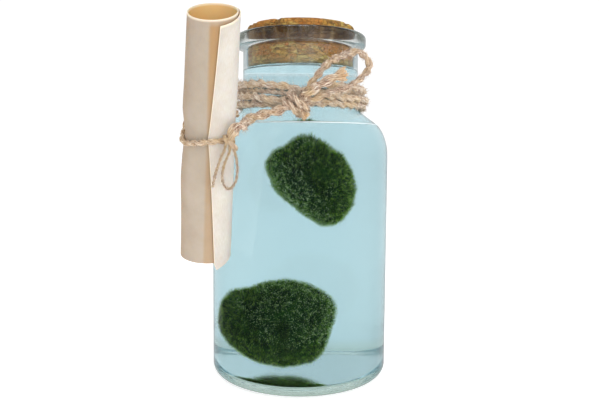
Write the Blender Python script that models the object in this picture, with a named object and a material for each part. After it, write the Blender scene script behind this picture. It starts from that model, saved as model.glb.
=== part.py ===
"""Corked glass bottle of water with two moss balls, a twine tie and a paper scroll.

Metres, +Z up. The origin is the centre of the flat base, and the front faces -Y.
"""
import math

import bmesh
import bpy
from mathutils import Vector

MM = 0.001

# ---- driving dimensions ----------------------------------------------------
GAP = 0.0003                # between pieces that touch
TURN_STEPS = 48             # facets round every turned piece

BODY_RADIUS = 0.033
WALL = 0.0025
HEEL_RADIUS = 0.0038        # rounding between the base and the side
BASE_THICKNESS = 0.0035
SHOULDER_Z = 0.0815         # where the straight side ends
SHOULDER_TURN = 68.0        # degrees that the shoulder rounds over before it runs on as a cone
CONE_FOOT = (0.0282, 0.0944)         # radius and height, outside
CONE_TOP = (0.0224, 0.0987)
INNER_CONE_FOOT = (0.0269, 0.0926)
INNER_CONE_TOP = (0.0211, 0.0969)
NECK_FOOT = 0.1003          # where the neck's side is upright again
NECK_RADIUS = 0.0215
NECK_BORE = 0.0193
LIP_RADIUS = 0.0243
LIP_Z = 0.1220              # underside of the lip
LIP_TOP = 0.1269
MOUTH_RADIUS = 0.0199

CORK_TOP_RADIUS = 0.0196
CORK_FOOT_RADIUS = 0.0189
CORK_TOP = 0.130
CORK_FOOT = 0.1143
CORK_EDGE = 0.0008          # worn edge at both ends

WATER_TOP = CORK_FOOT - 0.0004
PARTING_Y = -0.002          # upright plane that parts the water through both balls

BALL_SEGMENTS = 20
BALL_RINGS = 11
UPPER_CENTRE = Vector((3.1, 0.0, 71.7)) * MM
UPPER_DEPTH = 0.0115
UPPER_OUTLINE = [12.9, 13.0, 13.8, 14.5, 15.9, 15.4, 16.4, 12.8, 10.3, 9.6, 9.7, 11.9, 16.7, 15.8, 14.2]
LOWER_CENTRE = Vector((-6.9, -4.0, 20.6)) * MM
LOWER_DEPTH = 0.0145
LOWER_OUTLINE = [17.2, 19.0, 18.3, 16.8, 15.9, 15.7, 18.3, 18.2, 18.2, 16.9, 15.6, 16.0, 16.5, 18.3, 16.9]

TWINE = 0.0028              # the jute round the neck
LEAD_TWINE = 0.0034         # two strands twisted together, down to the scroll
TIE_TWINE = 0.0024          # round the scroll
THIN_TWINE = 0.0010         # the scroll's small bow
POINT_STEP = 2.0            # tube points, in diameters
WRAP_POINT_STEP = 2.5       # the same on the long wrapped twine

SCROLL_FOOT = Vector((-31.7, -27.7, 46.9)) * MM
SCROLL_HEAD = Vector((-25.8, -49.2, 125.4)) * MM
SCROLL_RADIUS = 0.00825
PAPER = 0.00035
LAYER_PITCH = 0.0007        # how far the sheet closes in over one turn
SHEET_START = -78.0         # degrees round the roll, where the outer edge lies
SHEET_TURN = 480.0          # degrees of sheet, one and a third turns
SHEET_STEP = 12.0


# ---- materials --------------------------------------------------------------
def make_material(name, colour, roughness, alpha=1.0, transmission=0.0, ior=1.45):
    material = bpy.data.materials.new(name)
    material.use_nodes = True
    shader = material.node_tree.nodes["Principled BSDF"]
    shader.inputs["Base Color"].default_value = (*colour, 1.0)
    shader.inputs["Roughness"].default_value = roughness
    shader.inputs["Metallic"].default_value = 0.0
    shader.inputs["Alpha"].default_value = alpha
    shader.inputs["Transmission Weight"].default_value = transmission
    shader.inputs["IOR"].default_value = ior
    material.diffuse_color = (*colour, alpha)
    return material


# ---- mesh helpers -------------------------------------------------------------
def place_object(name, bm, material, sharp_degrees=40.0):
    """Make one object of a bmesh, with its normals outward and shaded smooth."""
    bmesh.ops.recalc_face_normals(bm, faces=bm.faces)
    mesh = bpy.data.meshes.new(name)
    bm.to_mesh(mesh)
    bm.free()
    mesh.shade_smooth()
    mesh.set_sharp_from_angle(angle=math.radians(sharp_degrees))
    mesh.materials.append(material)
    piece = bpy.data.objects.new(name, mesh)
    bpy.context.scene.collection.objects.link(piece)
    return piece


def arc(centre_r, centre_z, radius_r, radius_z, start, end, steps):
    """Points of an elliptic arc in the turning plane, angles in degrees."""
    points = []
    for i in range(steps + 1):
        angle = math.radians(start + (end - start) * i / steps)
        points.append((centre_r + radius_r * math.cos(angle), centre_z + radius_z * math.sin(angle)))
    return points


def turned(profile):
    """Turn a closed half outline, which starts and ends on the axis, round Z."""
    bm = bmesh.new()
    verts = [bm.verts.new((r, 0.0, z)) for r, z in profile]
    edges = [bm.edges.new(pair) for pair in zip(verts, verts[1:])]
    bmesh.ops.spin(bm, geom=verts + edges, cent=(0, 0, 0), axis=(0, 0, 1), angle=math.tau,
                   steps=TURN_STEPS, use_merge=True, use_duplicate=False)
    bmesh.ops.remove_doubles(bm, verts=bm.verts, dist=1e-6)
    return bm


def smooth_points(route, step):
    """Even points about a step apart, on a smooth curve through the route."""
    knots = [Vector(p) for p in route]
    knots = [knots[0] * 2 - knots[1]] + knots + [knots[-1] * 2 - knots[-2]]
    fine = []
    for a, b, c, d in zip(knots, knots[1:], knots[2:], knots[3:]):
        for i in range(16):
            t = i / 16
            fine.append(0.5 * (2 * b + (c - a) * t + (2 * a - 5 * b + 4 * c - d) * t ** 2
                               + (3 * b - a - 3 * c + d) * t ** 3))
    fine.append(knots[-2])
    lengths = [0.0]
    for a, b in zip(fine, fine[1:]):
        lengths.append(lengths[-1] + (b - a).length)
    count = max(3, round(lengths[-1] / step))
    points, k = [], 0
    for i in range(count + 1):
        target = lengths[-1] * i / count
        while k < len(fine) - 2 and lengths[k + 1] < target:
            k += 1
        share = (target - lengths[k]) / (lengths[k + 1] - lengths[k])
        points.append(fine[k].lerp(fine[k + 1], min(share, 1.0)))
    return points


def twine_tube(name, route, diameter, material, step=POINT_STEP):
    """A round cord along the route, with filled ends."""
    points = smooth_points(route, diameter * step)
    curve = bpy.data.curves.new(name, "CURVE")
    curve.dimensions = "3D"
    curve.bevel_depth = diameter / 2
    curve.bevel_resolution = 2
    curve.use_fill_caps = True
    spline = curve.splines.new("POLY")
    spline.points.add(len(points) - 1)
    for spline_point, point in zip(spline.points, points):
        spline_point.co = (*point, 1.0)
    curve.materials.append(material)
    piece = bpy.data.objects.new(name, curve)
    bpy.context.scene.collection.objects.link(piece)
    return piece


# ---- bottle, cork and water ----------------------------------------------------
def shoulder(radius, cone_foot, steps):
    """The rounding from the straight side up to the foot of the cone."""
    turn = math.radians(SHOULDER_TURN)
    across = (radius - cone_foot[0]) / (1 - math.cos(turn))
    rise = (cone_foot[1] - SHOULDER_Z) / math.sin(turn)
    return arc(radius - across, SHOULDER_Z, across, rise, 0, SHOULDER_TURN, steps)


def make_bottle(material):
    inner_radius = BODY_RADIUS - WALL
    outer = [(0.0, 0.0)]
    outer += arc(BODY_RADIUS - HEEL_RADIUS, HEEL_RADIUS, HEEL_RADIUS, HEEL_RADIUS, -90, 0, 5)
    outer += shoulder(BODY_RADIUS, CONE_FOOT, 5)
    outer += [CONE_TOP, (NECK_RADIUS + 0.0002, NECK_FOOT - 0.0009), (NECK_RADIUS, NECK_FOOT)]
    outer += [(NECK_RADIUS, LIP_Z - 0.0008), (NECK_RADIUS + 0.0008, LIP_Z)]
    outer += arc(LIP_RADIUS - 0.0012, LIP_Z + 0.0014, 0.0012, 0.0014, -60, 0, 2)
    outer += arc(LIP_RADIUS - 0.0022, LIP_TOP - 0.0018, 0.0022, 0.0018, 0, 90, 4)
    inner = [(MOUTH_RADIUS + 0.0005, LIP_TOP), (MOUTH_RADIUS, LIP_TOP - 0.0005)]
    inner += [(NECK_BORE + 0.0001, CORK_FOOT), (NECK_BORE, NECK_FOOT - 0.0009)]
    inner += [(NECK_BORE + 0.0004, NECK_FOOT - 0.0023), INNER_CONE_TOP]
    inner += shoulder(inner_radius, INNER_CONE_FOOT, 5)[::-1]
    inner += arc(inner_radius - 0.004, BASE_THICKNESS + 0.004, 0.004, 0.004, 0, -90, 4)
    inner += [(0.0, BASE_THICKNESS)]
    return place_object("glass_bottle", turned(outer + inner), material)


def make_cork(material):
    profile = [(0.0, CORK_FOOT), (CORK_FOOT_RADIUS - CORK_EDGE, CORK_FOOT)]
    profile += [(CORK_FOOT_RADIUS, CORK_FOOT + CORK_EDGE)]
    profile += [(CORK_TOP_RADIUS, CORK_TOP - CORK_EDGE)]
    profile += [(CORK_TOP_RADIUS - CORK_EDGE * 0.4, CORK_TOP - CORK_EDGE * 0.3)]
    profile += [(CORK_TOP_RADIUS - CORK_EDGE, CORK_TOP), (0.0, CORK_TOP)]
    return place_object("cork_stopper", turned(profile), material)


def water_outline():
    """The bottle's inside, drawn in by the gap."""
    radius = BODY_RADIUS - WALL - GAP
    neck = NECK_BORE - GAP
    floor = BASE_THICKNESS + GAP
    profile = [(0.0, floor)]
    profile += arc(radius - 0.004, floor + 0.004, 0.004, 0.004, -90, 0, 3)
    in_r, in_z = GAP * 0.6, GAP * 0.8        # the gap, square to the cone
    profile += shoulder(radius, (INNER_CONE_FOOT[0] - in_r, INNER_CONE_FOOT[1] - in_z), 4)
    profile += [(INNER_CONE_TOP[0] - in_r, INNER_CONE_TOP[1] - in_z)]
    profile += [(neck + 0.0003, NECK_FOOT - 0.0025), (neck, NECK_FOOT - 0.0010)]
    profile += [(neck, WATER_TOP), (0.0, WATER_TOP)]
    return profile


def add_boolean(piece, cutter, operation):
    modifier = piece.modifiers.new(operation.lower(), "BOOLEAN")
    modifier.operation = operation
    modifier.solver = "EXACT"
    modifier.object = cutter
    cutter.hide_render = True
    cutter.display_type = "WIRE"


def make_water_halves(material, pockets):
    """Two halves on either side of the parting plane, with half a pocket for each ball."""
    reach = BODY_RADIUS * 2
    for name, side in (("water_front", -1), ("water_back", 1)):
        bm = bmesh.new()
        bmesh.ops.create_cube(bm, size=1.0)
        bmesh.ops.scale(bm, vec=(reach, reach, CORK_TOP * 1.2), verts=bm.verts)
        offset = PARTING_Y + side * (GAP / 2 + reach / 2)
        bmesh.ops.translate(bm, vec=(0, offset, CORK_TOP / 2), verts=bm.verts)
        block = place_object("cutter_" + name, bm, material)
        half = place_object(name, turned(water_outline()), material)
        add_boolean(half, block, "INTERSECT")
        for pocket in pockets:
            add_boolean(half, pocket, "DIFFERENCE")


# ---- moss balls --------------------------------------------------------------
def outline_radius(outline, angle):
    """Radius in metres at an angle (degrees), on a smooth closed curve."""
    count = len(outline)
    place = (angle % 360.0) / 360.0 * count
    i = int(place)
    t = place - i
    a, b, c, d = (outline[(i + k) % count] for k in (-1, 0, 1, 2))
    value = 0.5 * (2 * b + (c - a) * t + (2 * a - 5 * b + 4 * c - d) * t ** 2
                   + (3 * b - a - 3 * c + d) * t ** 3)
    return value * MM


def moss_ball(name, centre, outline, depth, material, swell=0.0):
    """A lumpy ball: its outline in the XZ plane, rounded off over its depth along Y."""
    bm = bmesh.new()
    rings = []
    for ring in range(1, BALL_RINGS):
        latitude = math.pi * ring / BALL_RINGS - math.pi / 2
        row = []
        for k in range(BALL_SEGMENTS):
            turn = 360.0 * k / BALL_SEGMENTS
            lean = 1.0 + 0.06 * math.sin(math.radians(2 * turn) + 2.0) * math.cos(latitude)
            radius = (outline_radius(outline, turn) + swell) * math.cos(latitude) ** 0.85
            y = (depth * lean + swell) * math.sin(latitude)
            direction = math.radians(turn)
            row.append(bm.verts.new((radius * math.cos(direction), y, radius * math.sin(direction))))
        rings.append(row)
    front = bm.verts.new((0.0, -(depth + swell), 0.0))
    back = bm.verts.new((0.0, depth + swell, 0.0))
    for lower, upper in zip(rings, rings[1:]):
        for k in range(BALL_SEGMENTS):
            j = (k + 1) % BALL_SEGMENTS
            bm.faces.new((lower[k], lower[j], upper[j], upper[k]))
    for k in range(BALL_SEGMENTS):
        j = (k + 1) % BALL_SEGMENTS
        bm.faces.new((front, rings[0][j], rings[0][k]))
        bm.faces.new((back, rings[-1][k], rings[-1][j]))
    bmesh.ops.translate(bm, vec=centre, verts=bm.verts)
    return place_object(name, bm, material, sharp_degrees=80.0)


# ---- twine round the neck ------------------------------------------------------
# Height in mm of the wrapped twine at angles in degrees, seen from above; -90 is the front.
WRAP_HEIGHTS = [(-70, 107.4), (-40, 107.0), (0, 106.8), (90, 107.9), (180, 108.7), (225, 108.1),
                (252, 106.8), (270, 105.2), (290, 104.0), (315, 103.5), (360, 103.4), (450, 104.6),
                (540, 105.0), (585, 104.1), (612, 103.2), (630, 102.0), (650, 100.9), (675, 100.4),
                (720, 100.3), (810, 100.5), (900, 101.0), (945, 100.6), (965, 100.3)]
NECK_KNOT = Vector((-1.1, -27.9, 100.4)) * MM
NECK_KNOT_SIZE = Vector((3.4, 2.4, 4.6)) * MM     # half its width, depth and height
BOW_LOOP = [(3.2, -28.8, 105.8), (4.8, -28.8, 108.0), (9.4, -27.6, 113.4), (15.8, -24.0, 116.8),
            (20.0, -21.0, 117.9), (23.3, -18.5, 115.5), (23.8, -18.0, 113.0), (21.6, -19.8, 110.1),
            (18.6, -22.0, 107.3), (15.3, -24.4, 105.1), (9.5, -28.0, 103.5), (5.6, -30.2, 101.6)]
CUT_END = [(4.2, -32.6, 104.2), (6.3, -33.0, 105.6), (10.0, -33.2, 107.5), (12.6, -33.0, 108.6),
           (15.4, -32.4, 109.6)]
LEAD = [(-7.0, -29.3, 97.6), (-9.3, -29.5, 96.9), (-12.2, -30.2, 96.0), (-15.4, -32.0, 94.9),
        (-17.2, -35.8, 93.8), (-17.3, -40.4, 92.7), (-18.1, -44.2, 91.5), (-19.6, -46.9, 91.0)]
SCROLL_KNOT = Vector((-21.3, -46.4, 86.7)) * MM
SCROLL_KNOT_SIZE = Vector((1.6, 1.4, 1.9)) * MM
SMALL_TAIL = [(-23.0, -47.8, 84.2), (-24.0, -47.8, 82.2), (-25.2, -47.3, 79.0), (-26.1, -46.7, 76.0),
              (-26.8, -45.9, 73.1)]
SMALL_LOOP = [(-21.4, -47.6, 83.8), (-22.6, -47.5, 81.2), (-23.6, -46.8, 78.0), (-23.8, -46.0, 75.0),
              (-22.7, -45.0, 72.5), (-21.2, -44.1, 72.7), (-19.9, -43.4, 75.0), (-19.4, -43.7, 78.0),
              (-19.5, -44.9, 81.0), (-19.9, -46.6, 83.6)]
# Round the scroll: angle in degrees (-90 is the front) and height in mm above the scroll's foot.
TIE_HEIGHTS = [(-67, 43.9), (-86, 43.2), (-110, 42.1), (-136, 41.2), (-165, 41.4), (-187, 43.5),
               (-199, 46.3), (-225, 49.5), (-270, 51.3), (-300, 51.2), (-318, 51.0)]


def eased_steps(table, steps_between=4):
    """Angles and heights between the rows of a table, with the height eased from row to row."""
    for (turn_a, high_a), (turn_b, high_b) in zip(table, table[1:]):
        for i in range(steps_between):
            share = i / steps_between
            yield turn_a + (turn_b - turn_a) * share, high_a + (high_b - high_a) * share ** 2 * (3 - 2 * share)
    yield table[-1]


def round_neck():
    """The wrapped route: a helix whose height follows WRAP_HEIGHTS."""
    radius = NECK_RADIUS + TWINE / 2 + GAP
    route = []
    for angle, height in eased_steps(WRAP_HEIGHTS):
        turn = math.radians(angle)
        route.append((radius * math.cos(turn), radius * math.sin(turn), height * MM))
    return route


def scroll_frame():
    """The scroll's foot, length, and directions: along it, to its right, and away from the front."""
    along = (SCROLL_HEAD - SCROLL_FOOT).normalized()
    right = (Vector((1, 0, 0)) - along * along.x).normalized()
    return SCROLL_FOOT, (SCROLL_HEAD - SCROLL_FOOT).length, along, right, along.cross(right)


def on_scroll(angle, height, radius):
    foot, _, along, right, back = scroll_frame()
    turn = math.radians(angle)
    return foot + along * height + (right * math.cos(turn) + back * math.sin(turn)) * radius


def round_scroll():
    """The tie's route: a slanting ring whose height follows TIE_HEIGHTS."""
    radius = SCROLL_RADIUS + TIE_TWINE / 2 + GAP
    return [on_scroll(angle, height * MM, radius) for angle, height in eased_steps(TIE_HEIGHTS)]


def knot(name, centre, half_size, lumps, material):
    """A tight knot as one lumpy solid."""
    bm = bmesh.new()
    bmesh.ops.create_icosphere(bm, subdivisions=2, radius=1.0)
    for vert in bm.verts:
        x, y, z = vert.co
        swell = 1.0 + 0.08 * math.sin(lumps * x + 1.0) * math.cos(lumps * z)
        vert.co = Vector((x * half_size.x, y * half_size.y, z * half_size.z)) * swell
    bmesh.ops.translate(bm, vec=centre, verts=bm.verts)
    return place_object(name, bm, material, sharp_degrees=80.0)


# ---- paper scroll ---------------------------------------------------------------
def head_height(angle):
    """The sheet's upper edge, cut a little askew, so it stands higher at the back."""
    return (81.2 + 2.2 * math.cos(math.radians(angle - 75.0))) * MM


def foot_height(angle):
    """The sheet's lower edge, where the outer corner hangs a little lower."""
    droop = max(0.0, 1.0 - (angle - SHEET_START) / 60.0)
    return (2.4 - 2.4 * droop) * MM


def make_scroll(material):
    """One sheet rolled up: a spiral wall, with both ends open."""
    bm = bmesh.new()
    stations = []
    for i in range(round(SHEET_TURN / SHEET_STEP) + 1):
        angle = SHEET_START + SHEET_STEP * i
        outer = SCROLL_RADIUS - LAYER_PITCH * (angle - SHEET_START) / 360.0
        corners = [(outer, foot_height(angle)), (outer, head_height(angle)),
                   (outer - PAPER, head_height(angle)), (outer - PAPER, foot_height(angle))]
        stations.append([bm.verts.new(on_scroll(angle, h, r)) for r, h in corners])
    for this, following in zip(stations, stations[1:]):
        for k in range(4):
            j = (k + 1) % 4
            bm.faces.new((this[k], this[j], following[j], following[k]))
    bm.faces.new(stations[0][::-1])
    bm.faces.new(stations[-1])
    return place_object("paper_scroll", bm, material)


# ---- build ------------------------------------------------------------------------
def build():
    for old in list(bpy.data.objects):
        bpy.data.objects.remove(old, do_unlink=True)

    glass = make_material("glass", (0.84, 0.93, 0.94), 0.02, alpha=0.35, transmission=1.0, ior=1.52)
    water = make_material("water", (0.72, 0.87, 0.92), 0.0, alpha=0.35, transmission=1.0, ior=1.333)
    cork = make_material("cork", (0.58, 0.37, 0.16), 0.85)
    moss = make_material("moss", (0.05, 0.13, 0.03), 0.9)
    jute = make_material("jute", (0.55, 0.41, 0.25), 0.9)
    paper = make_material("paper", (0.76, 0.68, 0.54), 0.8)

    make_bottle(glass)
    make_cork(cork)
    pockets = [moss_ball("cutter_upper", UPPER_CENTRE, UPPER_OUTLINE, UPPER_DEPTH, moss, swell=GAP * 1.4),
               moss_ball("cutter_lower", LOWER_CENTRE, LOWER_OUTLINE, LOWER_DEPTH, moss, swell=GAP * 1.4)]
    make_water_halves(water, pockets)
    moss_ball("moss_ball_upper", UPPER_CENTRE, UPPER_OUTLINE, UPPER_DEPTH, moss)
    moss_ball("moss_ball_lower", LOWER_CENTRE, LOWER_OUTLINE, LOWER_DEPTH, moss)

    twine_tube("neck_twine", round_neck(), TWINE, jute, step=WRAP_POINT_STEP)
    knot("twine_knot", NECK_KNOT, NECK_KNOT_SIZE, 3.0, jute)
    for name, route, diameter in (("bow_loop", BOW_LOOP, TWINE), ("twine_cut_end", CUT_END, TWINE),
                                  ("scroll_lead", LEAD, LEAD_TWINE), ("small_tail", SMALL_TAIL, THIN_TWINE),
                                  ("small_loop", SMALL_LOOP, THIN_TWINE)):
        twine_tube(name, [Vector(p) * MM for p in route], diameter, jute)
    twine_tube("scroll_tie", round_scroll(), TIE_TWINE, jute)
    knot("scroll_knot", SCROLL_KNOT, SCROLL_KNOT_SIZE, 4.0, jute)
    make_scroll(paper)


build()
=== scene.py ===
"""Looks of the corked bottle of water with two moss balls, its twine tie and its paper scroll."""
import math

import bmesh
import bpy
import numpy as np
from mathutils import Matrix, Vector, noise


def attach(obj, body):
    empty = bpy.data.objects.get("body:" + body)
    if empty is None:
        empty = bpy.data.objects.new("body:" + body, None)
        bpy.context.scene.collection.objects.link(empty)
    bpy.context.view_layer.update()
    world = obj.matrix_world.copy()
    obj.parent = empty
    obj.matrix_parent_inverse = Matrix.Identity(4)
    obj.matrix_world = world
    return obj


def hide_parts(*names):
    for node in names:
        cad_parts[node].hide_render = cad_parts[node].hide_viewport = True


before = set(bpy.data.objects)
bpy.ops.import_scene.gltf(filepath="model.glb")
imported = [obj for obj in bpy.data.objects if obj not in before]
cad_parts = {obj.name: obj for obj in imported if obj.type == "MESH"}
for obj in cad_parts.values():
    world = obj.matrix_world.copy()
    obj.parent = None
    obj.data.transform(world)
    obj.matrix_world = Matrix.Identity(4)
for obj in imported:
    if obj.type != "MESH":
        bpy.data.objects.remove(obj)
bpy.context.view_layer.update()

MM = 0.001
WHITE = (1.0, 1.0, 1.0, 1.0)

# ---- camera, in the photograph's 600 x 400 frame ----
CAMERA_PLACE = (0.0001, -0.2366, 0.0851)
CAMERA_PITCH = 4.78          # degrees down
CAMERA_ROLL = 0.35           # degrees
CAMERA_LENS = 37.2           # mm on a 36 mm wide sensor

# ---- studio ----
LIGHT_BOUNCES = 192
WHITE_GROUND = 1.06          # how bright the camera sees the world
GLOW_RADIUS = 0.029          # of the round of floor under the bottle that glows brighter: painted light that lifts its shade
FLOOR_Z = -0.0002
FLOOR_REACH = 20.0           # so far that its edge doesn't show as a line in the glass
LAMPS_AIM = Vector((0, 0, 0.07))

# ---- the bottle, cork and water: the part's, but for the hollow underside and the wider bore ----
BODY_RADIUS = 0.033
WALL = 0.0025
HEEL_RADIUS = 0.0038
BASE_THICKNESS = 0.00295     # at its middle line, where the mirror image of the lower ball ends
FLOOR_CORNER = 0.0016
PUSH_UP = 0.00175            # how far the underside is hollowed inside its resting ring
RESTING_RING = 0.0282
RING_SLOPE = 0.002           # how wide the slope inside the ring is
SHOULDER_Z = 0.0815
SHOULDER_TURN = 68.0
CONE_FOOT = (0.0282, 0.0944)
CONE_TOP = (0.0224, 0.0987)
INNER_CONE_FOOT = (0.0269, 0.0926)
INNER_CONE_TOP = (0.0211, 0.0969)
NECK_FOOT = 0.1003
NECK_RADIUS = 0.0215
NECK_BORE = 0.0200
LIP_RADIUS = 0.0243
LIP_Z = 0.1220
LIP_TOP = 0.1269
MOUTH_RADIUS = 0.0204
# the mould seam: degrees up the shoulder, and how far it stands out
SEAM = [(60.6, 0.0), (61.2, 0.00012), (61.9, 0.00020), (62.6, 0.00020), (63.3, 0.00012), (63.9, 0.0)]
CORK_TOP_RADIUS = 0.0200
CORK_FOOT_RADIUS = 0.0196
CORK_TOP = 0.130
CORK_FOOT = 0.1143
WATER_TOP = CORK_FOOT - 0.0004
TURN_STEPS = 192

GLASS_IOR = 1.52
WATER_IOR = 1.333
WET_IOR = GLASS_IOR / WATER_IOR     # where glass meets water
WATER_FILM = 0.00005         # kept between water and wall so that no faces touch
WATER_TINT = (0.30, 0.60, 0.67, 1.0)
WATER_DENSITY = 7.0
CORK_GRANULES = 560.0        # per metre, in its colour
CORK_CRUMBS = 520            # per metre, in its skin

# ---- the moss balls, as in the part ----
UPPER_CENTRE = Vector((3.1, 0.0, 71.7)) * MM
UPPER_DEPTH = 0.0115
UPPER_OUTLINE = [12.9, 13.0, 13.8, 14.5, 15.9, 15.2, 15.6, 12.1, 10.2, 9.6, 9.6, 11.4, 16.3, 15.8, 14.2]
LOWER_CENTRE = Vector((-6.9, -4.0, 20.6)) * MM
LOWER_DEPTH = 0.0145
LOWER_OUTLINE = [17.2, 18.9, 18.1, 16.8, 15.9, 15.3, 17.7, 18.0, 18.1, 17.0, 16.0, 16.3, 17.0, 18.4, 16.9]
PILE = 0.0013                # how far the filaments stand over the ball's body
FILAMENTS, FUZZ_THREADS, BUBBLES = 18500, 3600, 8600      # on each ball
BUBBLE_RADIUS = 0.15 * MM
BUBBLE_HEIGHT = 1.45 * MM    # over the ball's body

# ---- twine: the part's routes, pulled and loosened ----
TWINE = 0.0028
LEAD_TWINE = 0.0034
TIE_TWINE = 0.0024
THIN_TWINE = 0.0010
GAP = 0.0003
PLIES = 2
TWIST = 3.0                  # diameters for one full turn of the plies
ROPE_STEP = 0.0005           # between the rings of a fibre
# as shares of a rope's diameter: a ply's place, its core, its fibres' place and their radius
PLY_REACH, PLY_CORE, FIBRE_REACH, FIBRE_RADIUS = 0.205, 0.20, 0.225, 0.075
HAIRS_PER_METRE = 21500
LOOSE_PLY_RADIUS = 22.6      # mm, of the ply that has come loose round the neck
WRAP_HEIGHTS = [(-70, 107.4), (-40, 107.0), (0, 106.8), (90, 107.9), (180, 108.7), (225, 108.1),
                (252, 106.8), (270, 105.2), (290, 104.0), (315, 103.5), (360, 103.4), (450, 104.6),
                (540, 105.0), (585, 104.1), (612, 103.2), (630, 102.0), (650, 100.9), (675, 100.4),
                (720, 100.3), (810, 100.5), (900, 101.0), (945, 100.6), (965, 100.3),
                (972, 100.3)]
# where the pulled twine leaves its even turns: angle, how far it sinks and how far it stands out, in mm
WRAP_PULL = [(-70, 0.5, 0.0), (150, 0.3, 0.0), (200, 0.6, 0.0), (262, 0.3, 0.0), (290, 0.8, 0.9),
             (320, 0.9, 1.3), (350, 0.7, 1.0), (400, 0.0, 0.0), (550, 0.2, 0.0), (585, 0.8, 0.8),
             (600, 1.5, 2.0), (612, 2.0, 2.5), (624, 1.9, 2.5), (638, 1.0, 1.4), (655, 0.1, 0.1),
             (680, 0.0, 0.0), (980, 0.0, 0.0)]
LOOSE_PLY = [(182, 106.0), (200, 105.8), (225, 105.3), (245, 104.4), (262, 103.8), (280, 104.2),
             (300, 104.6), (320, 104.8), (340, 104.9), (356, 105.2), (372, 105.6)]
BOW_LOOP = [(3.2, -28.8, 105.8), (4.8, -28.8, 108.0), (9.4, -27.6, 113.4), (15.8, -24.0, 116.8),
            (20.0, -21.0, 117.9), (23.3, -18.5, 115.5), (23.8, -18.0, 113.0), (21.6, -19.8, 110.1),
            (18.6, -22.0, 107.3), (15.3, -24.4, 105.1), (9.5, -28.0, 103.5), (5.6, -30.2, 101.6)]
CUT_END = [(4.2, -32.6, 104.2), (6.3, -33.0, 105.6), (10.0, -33.2, 107.5), (12.6, -33.0, 108.6),
           (15.4, -32.4, 109.6)]
LEAD = [(-7.0, -29.3, 97.6), (-9.3, -29.5, 96.9), (-12.2, -30.2, 96.0), (-15.4, -32.0, 94.9),
        (-17.2, -35.8, 93.8), (-17.3, -40.4, 92.7), (-18.1, -44.2, 91.5), (-19.6, -46.9, 91.0)]
SCROLL_KNOT = Vector((-21.3, -46.4, 86.7)) * MM
SMALL_TAIL = [(-23.0, -47.8, 84.2), (-24.0, -47.8, 82.2), (-25.2, -47.3, 79.0), (-26.1, -46.7, 76.0),
              (-26.8, -45.9, 73.1)]
SMALL_LOOP = [(-21.4, -47.6, 83.8), (-22.6, -47.5, 81.2), (-23.6, -46.8, 78.0), (-23.8, -46.0, 75.0),
              (-22.7, -45.0, 72.5), (-21.2, -44.1, 72.7), (-19.9, -43.4, 75.0), (-19.4, -43.7, 78.0),
              (-19.5, -44.9, 81.0), (-19.9, -46.6, 83.6)]
TIE_HEIGHTS = [(-67, 44.2), (-86, 43.9), (-110, 43.1), (-136, 42.3), (-165, 42.2), (-187, 43.9),
               (-199, 46.3), (-225, 49.5), (-270, 51.3), (-300, 51.2), (-318, 51.0)]

# ---- the paper scroll, as in the part ----
SCROLL_FOOT = Vector((-31.7, -27.7, 46.9)) * MM
SCROLL_HEAD = Vector((-25.8, -49.2, 125.4)) * MM
SCROLL_RADIUS = 0.00825
PAPER = 0.00035
LAYER_PITCH = 0.0007
SHEET_START = -78.0
SHEET_TURN = 480.0
SHEET_LENGTH = 66.0          # mm, once unrolled
SHEET_HEIGHT = 85.0          # mm, with room to spare
HEAD_HEIGHT, HEAD_SLANT = 81.5, 2.0                       # mm
CORNER_SLID, FOOT_DROOP = 1.7, 2.4                        # mm, at the sheet's free corners
STRIPE_EDGE, FAINT_TONE = 267.0, 206.0                    # degrees: a tan stripe painted beside the flap's edge, as yellowing and shade, and a faint tan band
TIE_LEVEL = 44.5             # mm
TIE_SINK = 0.0008            # how far the tie is pulled into the soft paper
# how far the roll bulges at its left, in mm, at a height in mm
BULGE = [(0, 0.95), (20, 1.0), (30, 1.3), (37, 1.2), (41, 0.9), (44.5, 0.45), (48, 0.8), (52, 1.1),
         (60, 0.6), (70, 0.3), (82, 0.0)]
TIE_RADIUS = SCROLL_RADIUS + TIE_TWINE / 2 + GAP - TIE_SINK


# ---- nodes and materials ----
def srgb(red, green, blue):
    """A colour given 0 to 255, as Blender's linear values."""
    values = [c / 255 for c in (red, green, blue)]
    return tuple(c / 12.92 if c <= 0.04045 else ((c + 0.055) / 1.055) ** 2.4 for c in values) + (1.0,)


def tone(value):
    """A number is a grey, three are a colour given 0 to 255, four are linear, and a socket stays itself."""
    if isinstance(value, (int, float)):
        return (value, value, value, 1.0)
    if isinstance(value, tuple) and len(value) == 3:
        return srgb(*value)
    return value


def add(tree, kind, inputs=None, **settings):
    """Add a node. An input's value is either a number or another node's socket."""
    node = tree.nodes.new(kind)
    for name, value in settings.items():
        setattr(node, name, value)
    for name, value in (inputs or {}).items():
        if isinstance(value, bpy.types.NodeSocket):
            tree.links.new(value, node.inputs[name])
        else:
            node.inputs[name].default_value = value
    return node


def ramp(tree, factor, *stops):
    """A colour ramp. Each stop is a position and a tone."""
    node = add(tree, "ShaderNodeValToRGB", {"Fac": factor})
    elements = node.color_ramp.elements
    while len(elements) < len(stops):
        elements.new(0.5)
    for element, (position, value) in zip(elements, stops):
        element.position = position
        element.color = tone(value)
    return node.outputs["Color"]


def mix(tree, factor, first, second, blend="MIX"):
    return add(tree, "ShaderNodeMix", {0: factor, 6: tone(first), 7: tone(second)}, data_type="RGBA",
               blend_type=blend).outputs[2]


def multiplied(tree, first, second):
    return mix(tree, 1.0, first, second, "MULTIPLY")


def maths(tree, operation, first, second):
    return add(tree, "ShaderNodeMath", {0: first, 1: second}, operation=operation).outputs["Value"]


def vector_maths(tree, operation, first, second):
    return add(tree, "ShaderNodeVectorMath", {0: first, 1: second}, operation=operation).outputs["Vector"]


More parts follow.
